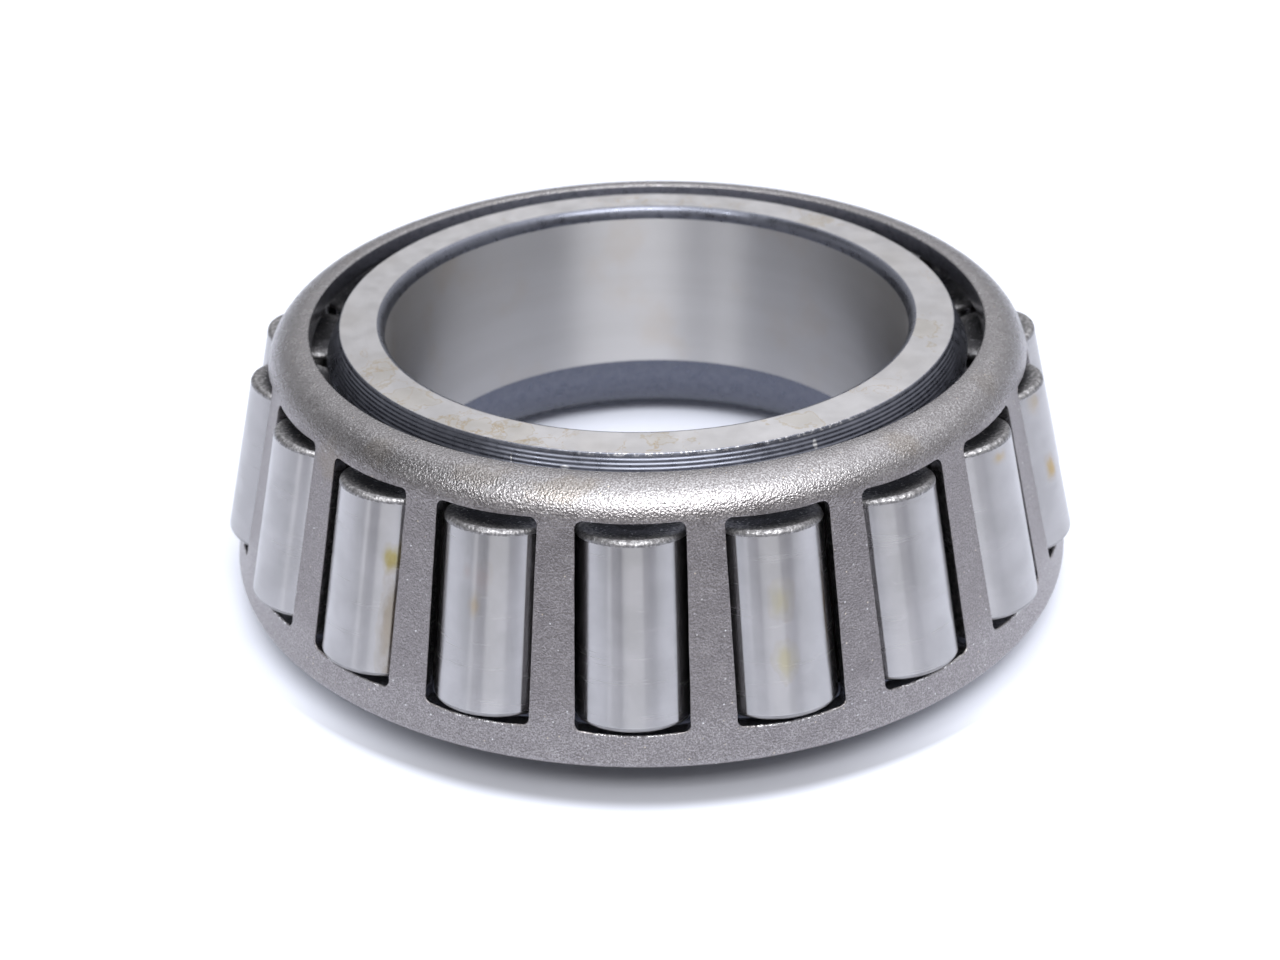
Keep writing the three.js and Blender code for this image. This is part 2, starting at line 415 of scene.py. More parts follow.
def bore_material():
    """ground bore: fine circumferential lines that smear reflections up and down"""
    net = Surface("ring_ground_bore")
    fine_at = net.stretch((net.angle, 2.2), (net.height, 16000.0), 0.0)
    fine = net.noise(fine_at, scale=1.0, detail=4, rough=0.65)
    broad_at = net.stretch((net.angle, 1.0), (net.height, 260.0), 3.0)
    broad = net.noise(broad_at, scale=1.0, detail=2, rough=0.5)
    stain = net.noise(net.pos, scale=110, detail=3, rough=0.55)
    colour = net.mix(
        (0.498, 0.490, 0.490), over=(0.520, 0.512, 0.514), by=net.step(broad, span=(0.35, 0.65))
    )
    stained = net.step(stain, span=(0.52, 0.74), to=(0.0, 0.35))
    colour = net.mix(colour, over=(0.48, 0.42, 0.36), by=stained)
    grit = net.noise(net.pos, scale=3800, detail=3, rough=0.5)
    relief = net.add(fine, net.mul(grit, 0.35))
    rough = net.step(fine, span=(0.3, 0.7), to=(0.37, 0.44))
    return net.finish(colour, rough, relief, strength=0.08, depth_mm=0.008, aniso=0.98)


def oxide_material():
    """unground, turned surfaces: dark blue-grey scale with bright rubbed ridges"""
    net = Surface("ring_oxide")
    turn_at = net.stretch((net.angle, 5.0), (net.height, 5200.0), 0.0)
    turning = net.noise(turn_at, scale=1.0, detail=4, rough=0.6)
    spots = net.noise(net.pos, scale=900, detail=4, rough=0.65)
    colour = net.mix(
        (0.110, 0.117, 0.146), over=(0.145, 0.152, 0.184), by=net.step(spots, span=(0.3, 0.75))
    )
    # painted sheen: the oxide lighter and bluer above 20 mm
    upper_painted_sheen = net.step(net.height, span=(0.020, 0.024), to=(0.0, 0.22))
    colour = net.mix(colour, over=(0.50, 0.52, 0.60), by=upper_painted_sheen)
    rubbed = net.mul(net.step(turning, span=(0.60, 0.74)), net.step(spots, span=(0.42, 0.62)))
    colour = net.mix(colour, over=(0.42, 0.43, 0.47), by=rubbed, amount=0.40)
    for centre, radii in RIB_MARKS:
        mark, _ = net.blob(centre, radii, wobble=0.5, scale=3000, soft=0.5)
        colour = net.mix(colour, over=(0.80, 0.80, 0.80), by=mark, amount=0.9)
    # painted highlight: a broken bright line on the rib's top edge, strongest round the front, where
    # the key light falls
    patchy = net.noise(net.pos, scale=2600, detail=3, rough=0.6)
    lip_painted_highlight = net.mul(
        net.step(net.height, span=(0.02970, 0.02990)), net.step(patchy, span=(0.50, 0.58))
    )
    lip_painted_highlight = net.mul(lip_painted_highlight, net.above(net.radius, 0.0320))
    from_front = net.math("ABSOLUTE", net.add(net.angle, 1.30))
    lip_painted_highlight = net.mul(lip_painted_highlight, net.step(from_front, span=(0.30, 0.55), to=(0.8, 0.1)))
    colour = net.mix(colour, over=(0.74, 0.74, 0.76), by=lip_painted_highlight)
    rough = net.step(spots, span=(0.3, 0.7), to=(0.24, 0.40))
    grit = net.noise(net.pos, scale=3600, detail=3, rough=0.6)
    relief = net.add(turning, net.mul(grit, 0.6))
    return net.finish(colour, rough, relief, strength=0.35, depth_mm=0.02, aniso=0.3)


# ---------------------------------------------------------------- cage materials
# stains on the shoulder: centre, radii, strength
CAGE_STAINS = [
    ((-29.8, -29.1, 26.5), (3.2, 3.2, 2.6), 0.40),
    ((-24.0, -31.0, 29.0), (2.2, 2.2, 1.8), 0.28),
    ((-6.4, -38.9, 29.4), (4.2, 1.9, 1.9), 0.40),
    ((-14.3, -36.4, 29.7), (3.8, 2.0, 1.6), 0.28),
    ((25.0, -30.0, 29.6), (3.0, 2.2, 1.8), 0.36),
    ((34.4, -18.0, 29.2), (2.0, 3.0, 1.8), 0.22),
    ((-35.5, 14.0, 29.2), (2.0, 3.8, 1.8), 0.26),
    ((10.0, 38.0, 28.6), (4.0, 2.0, 2.0), 0.26),
]


def cage_glint_specks(net, colour):
    """tiny bright specks, painted glints, some straw-coloured"""
    offset = (0.5, 0.2, 0.7)
    distance = net.voronoi(net.shifted(offset), scale=1500)
    kind = net.xyz(net.voronoi(net.shifted(offset), scale=1500, output="Color"))
    glint_speck = net.mul(
        net.step(distance, span=(0.0, 0.19), to=(1.0, 0.0)), net.above(kind[0], 0.62)
    )
    tint = net.mix((0.80, 0.70, 0.56), over=(0.96, 0.96, 0.96), by=0.0) if False else net.mix(
        (0.96, 0.96, 0.96), over=(0.80, 0.70, 0.56), by=net.above(kind[1], 0.62)
    )
    return net.mix(colour, over=tint, by=glint_speck, amount=0.9)


def cage_material():
    """shot-blasted pressed sheet: fine dimples that glint, faint stains, painted shade over the
    windows' height, painted highlight on the shoulder
    """
    net = Surface("cage_blasted")
    dimples = net.voronoi(net.pos, scale=4300)
    small_dimples = net.voronoi(net.shifted((0.37, 0.11, 0.2)), scale=7200)
    grit = net.noise(net.pos, scale=6200, detail=3, rough=0.62)
    mottle = net.noise(net.pos, scale=620, detail=4, rough=0.6)
    colour = net.mix(
        (0.355, 0.336, 0.338), over=(0.430, 0.409, 0.411), by=net.step(mottle, span=(0.3, 0.7))
    )
    # painted shade: darker over the height of the windows, as the foot catches more light from the
    # sheet below; painted highlight: brighter over the shoulder
    window_band_painted_shade = net.mul(
        net.step(net.height, span=(0.0075, 0.0105)),
        net.step(net.height, span=(0.0255, 0.0285), to=(1.0, 0.0)),
    )
    colour = net.mix(colour, over=(0.11, 0.090, 0.086), by=window_band_painted_shade, amount=0.24)
    shoulder = net.step(net.height, span=(0.0272, 0.0292), to=(0.0, 0.27))
    colour = net.mix(colour, over=(0.69, 0.71, 0.74), by=shoulder)
    pits = net.step(grit, span=(0.39, 0.59), to=(0.0, 0.80))
    colour = net.mix(colour, over=(0.195, 0.181, 0.183), by=pits)
    colour = cage_glint_specks(net, colour)
    for k, (centre, radii, strength) in enumerate(CAGE_STAINS):
        mask, _ = net.blob(centre, radii, wobble=1.5, seed=0.021 * (k + 2), scale=520, soft=0.6)
        colour = net.mix(
            colour, over=(0.27, 0.225, 0.165), by=mask, amount=net.mul(strength, 0.8)
        )
    rough = net.sub(
        net.step(mottle, span=(0.3, 0.7), to=(0.33, 0.42)),
        net.step(net.height, span=(0.0265, 0.0285), to=(0.0, 0.13)),
    )
    relief = net.add(net.mul(dimples, 1.0), net.mul(small_dimples, 0.55))
    relief = net.add(relief, net.mul(grit, 0.7))
    return net.finish(colour, rough, relief, strength=0.75, depth_mm=0.050)


def cut_material():
    """sheared walls of the windows and the cut edges"""
    net = Surface("cage_cut")
    drag_at = net.stretch((net.angle, 420.0), (net.radius, 300.0), (net.height, 2600.0))
    drag = net.noise(drag_at, scale=1.0, detail=4, rough=0.6)
    spots = net.noise(net.pos, scale=1500, detail=3, rough=0.6)
    colour = net.mix(
        (0.46, 0.45, 0.46), over=(0.62, 0.61, 0.62), by=net.step(drag, span=(0.3, 0.7))
    )
    spotted = net.step(spots, span=(0.5, 0.7), to=(0.0, 0.5))
    colour = net.mix(colour, over=(0.14, 0.135, 0.14), by=spotted)
    relief = net.add(drag, net.mul(spots, 0.5))
    rough = net.step(drag, span=(0.3, 0.7), to=(0.18, 0.26))
    return net.finish(colour, rough, relief, strength=0.35, depth_mm=0.015)


def burr_material():
    """rolled burr at the foot of each window; its broken bright patches are painted glints"""
    net = Surface("cage_burr")
    burr = net.noise(net.pos, scale=3600, detail=4, rough=0.65)
    wide = net.noise(net.pos, scale=260, detail=2, rough=0.5)
    burr = net.add(burr, net.step(wide, span=(0.35, 0.65), to=(-0.08, 0.06)))
    # painted glints: near-white patches of the burr, broken up by noise
    colour = net.mix(
        (0.30, 0.285, 0.29), over=(0.88, 0.87, 0.87), by=net.step(burr, span=(0.50, 0.58))
    )
    rough = net.step(burr, span=(0.45, 0.6), to=(0.42, 0.2))
    return net.finish(colour, rough, burr, strength=1.0, depth_mm=0.12)


# ---------------------------------------------------------------- roller materials
STAIN_SLOTS = (1, 2, 3)  # stains a roller can carry, as custom properties of its object


def roller_stain(net, colour, k):
    """stain k, from the object's properties; its strength is zero where there is none"""
    centre = net.attribute(f"stain{k}_at", "Vector")
    radii = net.attribute(f"stain{k}_size", "Vector")
    reach = net.length(net.vector("DIVIDE", net.vector("SUBTRACT", net.pos, centre), radii))
    drawn = net.vector("MULTIPLY", net.pos, (1.0, 1.0, 0.45))
    ragged = net.noise(drawn, scale=700, detail=4, rough=0.62)
    reach = net.waver(reach, ragged, 1.5)
    strength = net.attribute(f"stain{k}_on")
    body = net.mul(net.step(reach, span=(0.15, 1.0), to=(1.0, 0.0)), strength)
    rim = net.mul(net.near(reach, 0.88, span=(0.0, 0.16)), strength)
    tint = net.attribute(f"stain{k}_tint", "Vector")
    colour = net.mix(colour, over=tint, by=body, mode="MULTIPLY")
    return net.mix(colour, over=(0.86, 0.76, 0.58), by=rim, amount=0.22, mode="MULTIPLY")


def roller_material():
    """ground roller body: circumferential lines, faint scratches and oil stains"""
    net = Surface("roller_ground")
    shift = net.mul(net.attribute("seed"), 7.3)  # sets each roller's textures apart
    fine_at = net.stretch((net.angle, 0.9), (net.height, 15000.0), shift)
    fine = net.noise(fine_at, scale=1.0, detail=4, rough=0.7)
    broad_at = net.stretch((net.angle, 0.7), (net.height, 900.0), shift)
    broad = net.noise(broad_at, scale=1.0, detail=3, rough=0.6)
    mottle_at = net.shifted(net.stretch(shift, shift, shift))
    mottle = net.noise(mottle_at, scale=260, detail=3, rough=0.5)
    colour = net.mix(
        (0.408, 0.402, 0.404), over=(0.455, 0.447, 0.452), by=net.step(mottle, span=(0.35, 0.65))
    )
    banded = net.step(broad, span=(0.52, 0.72), to=(0.0, 0.08))
    colour = net.mix(colour, over=(0.50, 0.49, 0.49), by=banded)
    for k in STAIN_SLOTS:
        colour = roller_stain(net, colour, k)
    # short handling scratches
    slant = net.add(net.mul(net.height, 130.0), net.mul(net.angle, 1.4))
    scratch_at = net.stretch((net.angle, 2.2), slant, shift)
    scratch = net.voronoi(scratch_at, scale=1.0, feature="DISTANCE_TO_EDGE")
    patchy_at = net.shifted(net.stretch(shift, 0.0, 0.0))
    patchy = net.noise(patchy_at, scale=330, detail=2, rough=0.5)
    kept = net.step(patchy, span=(0.60, 0.70))
    line = net.mul(net.step(scratch, span=(0.0, 0.010), to=(1.0, 0.0)), kept)
    colour = net.mix(colour, over=(0.82, 0.82, 0.82), by=line, amount=0.14)
    rough = net.add(
        net.step(fine, span=(0.3, 0.7), to=(0.235, 0.265)),
        net.mul(net.step(broad, span=(0.5, 0.7)), 0.02),
    )
    relief = net.sub(net.add(fine, net.mul(broad, 0.08)), net.mul(line, 0.12))
    return net.finish(colour, rough, relief, strength=0.075, depth_mm=0.008, aniso=0.97)


def small_end_material():
    """unground small end and corner: grainy and dark, with painted glints and painted shade towards
    the middle
    """
    net = Surface("roller_end")
    cells = net.voronoi(net.pos, scale=4600)
    grain = net.noise(net.pos, scale=3000, detail=4, rough=0.65)
    colour = net.mix(
        (0.19, 0.185, 0.19), over=(0.42, 0.415, 0.42), by=net.step(grain, span=(0.34, 0.66))
    )
    # painted shade: darker towards the middle of the end face, where the cage's shoulder shades it
    centre = net.step(net.waver(net.radius, grain, 0.0022), span=(0.0033, 0.0050), to=(0.85, 0.0))
    colour = net.mix(colour, over=(0.055, 0.055, 0.062), by=centre)
    # painted glints: near-white spots in the grain
    glints = net.step(grain, span=(0.62, 0.68), to=(0.0, 0.8))
    colour = net.mix(colour, over=(0.85, 0.85, 0.86), by=glints)
    relief = net.add(cells, net.mul(grain, 1.2))
    rough = net.step(grain, span=(0.3, 0.7), to=(0.50, 0.36))
    return net.finish(colour, rough, relief, strength=0.7, depth_mm=0.05)


def large_end_material():
    """ground large end and its corner"""
    net = Surface("roller_foot")
    rings = net.stretch((net.angle, 2.0), (net.radius, 9000.0), 0.0)
    grind = net.noise(rings, scale=1.0, detail=3, rough=0.6)
    colour = net.mix(
        (0.21, 0.205, 0.205), over=(0.31, 0.305, 0.305), by=net.step(grind, span=(0.3, 0.7))
    )
    return net.finish(colour, 0.30, grind, strength=0.2, depth_mm=0.01, aniso=0.4)


RING_MATERIALS = [face_material(), bore_material(), oxide_material()]
CAGE_MATERIALS = [cage_material(), cut_material(), burr_material()]
ROLLER_MATERIALS = [roller_material(), small_end_material(), large_end_material()]

# ---------------------------------------------------------------- inner ring
BORE_CORNER = 8  # radius at the bottom of the bore
TOP_CORNER_R, TOP_CORNER_Z = 0.77, 1.4  # elliptical corner at the top of the bore
FACE_R, LIP = 33.28, 0.12  # edge of the top face and the radius that breaks it
SMALL_RIB_R, SMALL_RIB_Z = 35.0, 26.8  # foot of the small rib's flare
TURNS, TURN_STEPS, TURN_DEPTH = 8, 12, 0.016  # turned rings; the depth is half the valley's
LARGE_RIB_R, LARGE_RIB_CORNER = 42.5, 1.0
RACE_GAP, RELIEF_GAP = 0.05, 0.3  # below the rollers' innermost lines
END_GAP, FLANK_GAP = 0.15, 0.5  # from a roller's large and small ends to the ribs


def rib_turning():
    """flared outside of the small rib: rounded ridges with narrow valleys between them"""
    top, foot = np.array([33.46, WIDTH - 0.22]), np.array([SMALL_RIB_R, SMALL_RIB_Z])
    normal = np.array([-(foot - top)[1], (foot - top)[0]])
    normal = normal / np.linalg.norm(normal)
    points = []
    for i in range(1, TURNS * TURN_STEPS):
        share = i / (TURNS * TURN_STEPS)
        phase = (share * TURNS) % 1.0
        depth = TURN_DEPTH * (1 - math.cos(2 * math.pi * phase))
        points.append(tuple(top + (foot - top) * share - normal * depth))
    return points


def make_ring():
    FACE, BORE, OXIDE = 0, 1, 2

    def under_roller(along, gap):
        return on_axis(along, -along * math.tan(ROLLER_HALF) - gap)

    def square(along, r):
        """point at radius r on the plane square to the roller's axis"""
        return on_axis(along, (r - along * math.sin(TILT)) / math.cos(TILT))

    guide, flank = LARGE_END + END_GAP, SMALL_END - FLANK_GAP
    corner_r, lip_z = BORE_R + BORE_CORNER, WIDTH - LIP
    outline = Profile()
    add = outline.add
    # up the bore; its ground part starts just above the corner
    add(arc(corner_r, BORE_CORNER, BORE_CORNER, BORE_CORNER, 270, 180, 40), OXIDE)
    add([(BORE_R, 8.5)], OXIDE)
    add([(BORE_R, 9.04)], BORE)
    add([(BORE_R, z) for z in np.linspace(9.3, WIDTH - 1.45, 26)], BORE, then=OXIDE)
    top_corner = arc(
        BORE_R + TOP_CORNER_R, WIDTH - TOP_CORNER_Z, TOP_CORNER_R, TOP_CORNER_Z, 180, 90, 12
    )
    add(top_corner, OXIDE, then=FACE)
    # top face and small rib
    add([(r, WIDTH) for r in np.linspace(29.5, FACE_R, 14)], FACE, then=OXIDE)
    add(arc(FACE_R, lip_z, LIP, LIP, 90, 20, 5), OXIDE)
    add(rib_turning(), OXIDE)
    add([(SMALL_RIB_R, SMALL_RIB_Z), (SMALL_RIB_R, square(flank, SMALL_RIB_R)[1] + 0.3)], OXIDE)
    add([square(flank, SMALL_RIB_R - 0.25)], OXIDE)
    # raceway, between two relief grooves
    relief = [under_roller(along, RELIEF_GAP) for along in (flank, flank + 0.7)]
    add(relief, OXIDE, then=BORE)
    race = np.linspace(flank + 1.1, guide - 1.1, 24)
    add([under_roller(along, RACE_GAP) for along in race], BORE)
    relief = [under_roller(along, RELIEF_GAP) for along in (guide - 0.7, guide)]
    add(relief, OXIDE, then=BORE)
    # large rib and bottom face
    add([square(guide, 42.2)], OXIDE)
    edge_z = square(guide, LARGE_RIB_R)[1]
    rib_edge = [(42.42, edge_z - 0.1), (LARGE_RIB_R, edge_z - 0.3)]
    add([*rib_edge, (LARGE_RIB_R, LARGE_RIB_CORNER)], OXIDE)
    corner = LARGE_RIB_CORNER
    add(arc(LARGE_RIB_R - corner, corner, corner, corner, 0, -90, 8), OXIDE, then=FACE)
    add([(r, 0.0) for r in np.linspace(41.0, 36.9, 8)], FACE)
    # the profile runs up the bore, so it is turned round to face outwards
    points, slots = outline.points[::-1], outline.slots[::-1]
    slots = slots[1:] + slots[:1]
    return lathe("inner_ring_visual", points, slots, 608, RING_MATERIALS, closed=True, sharp=32)


# ---------------------------------------------------------------- rollers
# Oil stains by roller number: (height from the large end, degrees about the roller),
# radii, strength, tint. Degree 0 faces away from the bore axis.
AMBER, STRAW, ROSE = (0.98, 0.76, 0.40), (0.97, 0.92, 0.66), (0.96, 0.86, 0.82)
STAINS = {
    18: [
        ((12.5, 50), (1.35, 1.35, 1.7), 1.0, (0.80, 0.70, 0.32)),
        ((5.2, 52), (1.25, 1.25, 8.0), 1.0, (0.72, 0.65, 0.54)),
    ],
    2: [
        ((11.6, -10), (1.5, 1.5, 2.4), 0.8, STRAW),
        ((6.0, -9), (1.5, 1.5, 2.2), 0.9, STRAW),
        ((9.6, 42), (0.30, 0.30, 7.5), 1.0, (0.42, 0.34, 0.24)),
    ],
    5: [
        ((9.0, -24), (1.35, 1.35, 2.0), 1.0, AMBER),
        ((17.0, -32), (1.2, 1.2, 1.5), 0.4, AMBER),
    ],
    4: [((17.0, -16), (1.1, 1.1, 0.9), 0.7, AMBER)],
    19: [
        ((13.9, 10), (1.0, 1.0, 2.0), 0.6, ROSE),
        ((11.0, 2), (0.9, 0.9, 1.5), 0.5, AMBER),
        ((14.2, -8), (0.5, 0.5, 0.8), 0.5, ROSE),
    ],
    12: [((10.0, 10), (1.2, 1.2, 2.2), 0.5, AMBER)],
    9: [((6.0, -20), (1.0, 1.0, 1.6), 0.4, AMBER)],
}


def roller_radius(z):
    return (LARGE_END - z) * math.tan(ROLLER_HALF)


def roller_profile():
    """from the middle of the large end, at z = 0, to the middle of the small end"""
    GROUND, SMALL, LARGE = 0, 1, 2
    corner = 0.50
    end = ROLLER_LENGTH
    outline = Profile()
    add = outline.add
    add([(0, 0.16), (1.3, 0.16), (1.6, 0.12), (1.85, 0.02), (2.1, 0.0)], LARGE)
    add([(r, 0.0) for r in np.linspace(2.6, roller_radius(0) - 0.54, 6)], LARGE)
    large_corner = arc(roller_radius(corner) - corner, corner, corner, corner, -90, 0, 9)
    add(large_corner, LARGE, then=GROUND)
    add([(roller_radius(z), z) for z in np.linspace(0.7, end - 0.60, 30)], GROUND, then=SMALL)
    add(arc(roller_radius(end - 0.55) - 0.52, end - 0.55, 0.52, 0.55, 4, 90, 11), SMALL)
    add([(r, end) for r in np.linspace(roller_radius(end) - 1.0, 2.2, 6)], SMALL)
    add([(1.9, end - 0.03), (1.6, end - 0.12), (0, end - 0.14)], SMALL)
    return outline


def roller_place(i):
    r, z = on_axis(LARGE_END, 0)
    return (
        Matrix.Rotation(station_angle(i), 4, "Z")
        @ Matrix.Translation((r * MM, 0, z * MM))
        @ Matrix.Rotation(-TILT, 4, "Y")
    )


def surface_point(z, degrees):
    """point on the roller's surface, in metres"""
    r = roller_radius(z)
    return [r * math.cos(degrees * DEG) * MM, r * math.sin(degrees * DEG) * MM, z * MM]


def set_stains(ob, stains):
    for k in STAIN_SLOTS:
        centre, radii, strength, tint = [0.0, 0.0, 0.0], (1, 1, 1), 0.0, (1.0, 1.0, 1.0)
        if len(stains) >= k:
            place, radii, strength, tint = stains[k - 1]
            centre = surface_point(*place)
        ob[f"stain{k}_tint"] = list(tint)
        ob[f"stain{k}_at"] = centre
        ob[f"stain{k}_size"] = [x * MM for x in radii]
        ob[f"stain{k}_on"] = strength


def make_rollers():
    """the rollers, by node name; all share the first one's mesh"""
    outline = roller_profile()
    rng = np.random.default_rng(7)
    made = {}
    mesh = None
    for i in range(ROLLER_COUNT):
        node = f"roller_{i + 1:02d}"
        name = node + "_visual"
        if mesh is None:
            ob = lathe(
                name, outline.points, outline.slots, 112, ROLLER_MATERIALS, closed=False, sharp=28
            )
            mesh = ob.data
        else:
            ob = link_object(name, mesh)
        ob.matrix_world = roller_place(i)
        ob["seed"] = float(rng.uniform(0, 1))
        set_stains(ob, STAINS.get(i + 1, []))
        made[node] = ob
    return made


# ---------------------------------------------------------------- cage
SHEET_SLOT, CUT_SLOT, BURR_SLOT = 0, 1, 2
ROLLED = 3  # marks the rolled edge: burr along the window's foot, sheet elsewhere
HALF_SECTOR = math.pi / ROLLER_COUNT
# points along the window's top or foot, along a side, and round a corner
EDGE_POINTS, SIDE_POINTS, CORNER_POINTS = 13, 19, 7
OUTSIDE_LOOPS, ROLL_LOOPS, WALL_ROWS, INSIDE_LOOPS = 7, 6, 6, 5
# rolled-over edge outside, widest along the foot of the window
EDGE_ROLL = 0.08
FOOT_ROLL = {"B": 0.18, "BL": 0.14, "BR": 0.14}
INNER_BREAK = 0.08  # bevel of the window's inside edge

# y across and rise up the wall, outward normal, part of the outline, share along that part
EdgePoint = namedtuple("EdgePoint", "y rise out_y out_rise part share")


def border(edge, foot, top, side_foot, side_top):
    """(azimuth, length) on the sector's border for a point of the window's edge.

    The four limits are lengths up the sheet."""
    run = 0.80  # share of the half sector faced by the top and foot
    path = {
        "B": [(-run, foot), (run, foot)],
        "BR": [(run, foot), (1, foot), (1, side_foot)],
        "R": [(1, side_foot), (1, side_top)],
        "TR": [(1, side_top), (1, top), (run, top)],
        "T": [(run, top), (-run, top)],
        "TL": [(-run, top), (-1, top), (-1, side_top)],
        "L": [(-1, side_top), (-1, side_foot)],
        "BL": [(-1, side_foot), (-1, foot), (-run, foot)],
    }[edge.part]
    share = edge.share
    if len(path) == 3:  # a corner gives half its points to each leg
        if share <= 0.5:
            path, share = path[:2], share / 0.5
        else:
            path, share = path[1:], (share - 0.5) / 0.5
    (az0, length0), (az1, length1) = path
    return (az0 + (az1 - az0) * share) * HALF_SECTOR, length0 + (length1 - length0) * share


class SheetSide:
    """One side of the cage sheet. Lengths run up it from the foot, over wall and bend."""

    def __init__(self, depth, search, foot_z, past_bend, flank_z):
        """depth: below the outside; search: depths that bracket it in a window's frame;
        foot_z, past_bend, flank_z: where the border of a window's patch runs"""
        self.foot_r = CAGE_FOOT_R - depth / math.cos(CAGE_TILT)
        self.bend = SHOULDER_R - depth
        self.bend_z = SHOULDER_Z + self.bend * math.sin(CAGE_TILT)
        self.search = search
        self.past_bend = past_bend
        self.foot = self.length_at(foot_z)
        self.top = self.length_at(self.bend_z) + past_bend
        self.flank = [self.length_at(z) for z in flank_z]

    def radius(self, z):
        if z <= self.bend_z:
            return self.foot_r - (z - CAGE_FOOT_Z) * math.tan(CAGE_TILT)
        return SHOULDER_CENTRE_R + math.sqrt(max(self.bend * self.bend - (z - SHOULDER_Z) ** 2, 0))

    def length_at(self, z):
        if z <= self.bend_z:
            return (z - CAGE_FOOT_Z) / math.cos(CAGE_TILT)
        turned = math.asin(min((z - SHOULDER_Z) / self.bend, 1)) - CAGE_TILT
        return (self.bend_z - CAGE_FOOT_Z) / math.cos(CAGE_TILT) + self.bend * turned

    def z_at(self, length):
        wall = (self.bend_z - CAGE_FOOT_Z) / math.cos(CAGE_TILT)
        if length <= wall:
            return CAGE_FOOT_Z + length * math.cos(CAGE_TILT)
        return SHOULDER_Z + self.bend * math.sin(CAGE_TILT + (length - wall) / self.bend)

    def on_bend(self, angle):
        return (
            SHOULDER_CENTRE_R + self.bend * math.cos(angle),
            SHOULDER_Z + self.bend * math.sin(angle),
        )

    def patch_top(self):
        """angle on the bend where the patches end"""
        return CAGE_TILT + self.past_bend / self.bend

    def borders(self, window):
        return [border(edge, self.foot, self.top, *self.flank) for edge in window]

    def loop(self, starts, ends, share):
        """points a share of the way between two loops of (azimuth, length)"""
        points = []
        for (az0, length0), (az1, length1) in zip(starts, ends):
            az = az0 + (az1 - az0) * share
            z = self.z_at(length0 + (length1 - length0) * share)
            r = self.radius(z)
            points.append((r * math.cos(az), r * math.sin(az), z))
        return points


OUTSIDE = SheetSide(
    depth=0, search=(-4.5, 2.0), foot_z=6.7, past_bend=1.25, flank_z=(8.6, 26.2)
)
INSIDE = SheetSide(
    depth=SHEET, search=(-5.0, -0.9), foot_z=6.1, past_bend=0.70, flank_z=(8.1, 25.6)
)
WINDOW_R = OUTSIDE.radius(WINDOW_FOOT_Z)


def window_outline():
    """the window's edge in the plane of the wall, counter-clockwise from the foot's left"""
    height = (WINDOW_TOP_Z - WINDOW_FOOT_Z) / math.cos(CAGE_TILT)
    foot_half, top_half, corner_r = WINDOW_FOOT_WIDTH / 2, WINDOW_TOP_WIDTH / 2, WINDOW_CORNER
    lean = math.atan2(foot_half - top_half, height)
    cos_lean, sin_lean = math.cos(lean), math.sin(lean)
    points = []

    def line(start, end, count, normal, part, bow=0.0):
        for i in range(count):
            share = (i + 0.5) / count
            y = start[0] + (end[0] - start[0]) * share
            rise = start[1] + (end[1] - start[1]) * share - bow * 4 * share * (1 - share)
            points.append(EdgePoint(y, rise, *normal, part, share))

    def corner(y, rise, start, end, part):
        for i in range(CORNER_POINTS):
            share = i / (CORNER_POINTS - 1)
            angle = start + (end - start) * share
            cos, sin = math.cos(angle), math.sin(angle)
            points.append(
                EdgePoint(y + corner_r * cos, rise + corner_r * sin, cos, sin, part, share)
            )

    def corner_y(rise):
        return foot_half - (foot_half - top_half) * rise / height - corner_r / cos_lean

    # centres of the right corners, and the ends of the right side
    foot_y, foot_rise = corner_y(corner_r), corner_r
    top_y, top_rise = corner_y(height - corner_r), height - corner_r
    low = (foot_y + corner_r * cos_lean, foot_rise + corner_r * sin_lean)
    high = (top_y + corner_r * cos_lean, top_rise + corner_r * sin_lean)
    quarter = math.pi / 2
    line((-foot_y, 0), (foot_y, 0), EDGE_POINTS, (0, -1), "B", FOOT_BOW)
    corner(foot_y, foot_rise, -quarter, lean, "BR")
    line(low, high, SIDE_POINTS, (cos_lean, sin_lean), "R")
    corner(top_y, top_rise, lean, quarter, "TR")
    line((top_y, height), (-top_y, height), EDGE_POINTS, (0, 1), "T", TOP_BOW)
    corner(-top_y, top_rise, quarter, math.pi - lean, "TL")
    line((-high[0], high[1]), (-low[0], low[1]), SIDE_POINTS, (-cos_lean, sin_lean), "L")
    corner(-foot_y, foot_rise, math.pi - lean, 1.5 * math.pi, "BL")
    return points


def in_window(y, rise, depth):
    """point of a window's frame: x out along the radius, y across, z up"""
    cos, sin = math.cos(CAGE_TILT), math.sin(CAGE_TILT)
    return (
        WINDOW_R + rise * -sin + depth * cos,
        y * (1 - WINDOW_FLARE * depth),
        WINDOW_FOOT_Z + rise * cos + depth * sin,
    )


def depth_at(y, rise, side):
    """depth at which the window's wall meets a side of the sheet, by bisection"""
    low, high = side.search
    for _ in range(44):
        middle = (low + high) / 2
        x, across, z = in_window(y, rise, middle)
        if math.hypot(x, across) > side.radius(z):
            high = middle
        else:
            low = middle
    return (low + high) / 2


def moved_out(edge, distance):
    return edge.y + edge.out_y * distance, edge.rise + edge.out_rise * distance


def on_sheet(y, rise, side):
    """(azimuth, length) where the window's wall meets a side of the sheet"""
    x, across, z = in_window(y, rise, depth_at(y, rise, side))
    return math.atan2(across, x), side.length_at(z)


def edge_wander(rng, count):
    """slow wander of a window's edge with a fine jitter, different at every window"""
    phases = rng.uniform(0, 2 * math.pi, 9)
    sizes = rng.uniform(0.3, 1.0, 9)
    share = np.arange(count) / count
    slow = sum(
        sizes[k] * np.sin(2 * math.pi * (k * 3 + 4) * share + phases[k]) / (k + 2)
        for k in range(9)
    )
    fine = rng.normal(0, 1, count)
    fine = (fine + np.roll(fine, 1) + np.roll(fine, -1)) / 3
    return 0.028 * slow + 0.020 * fine


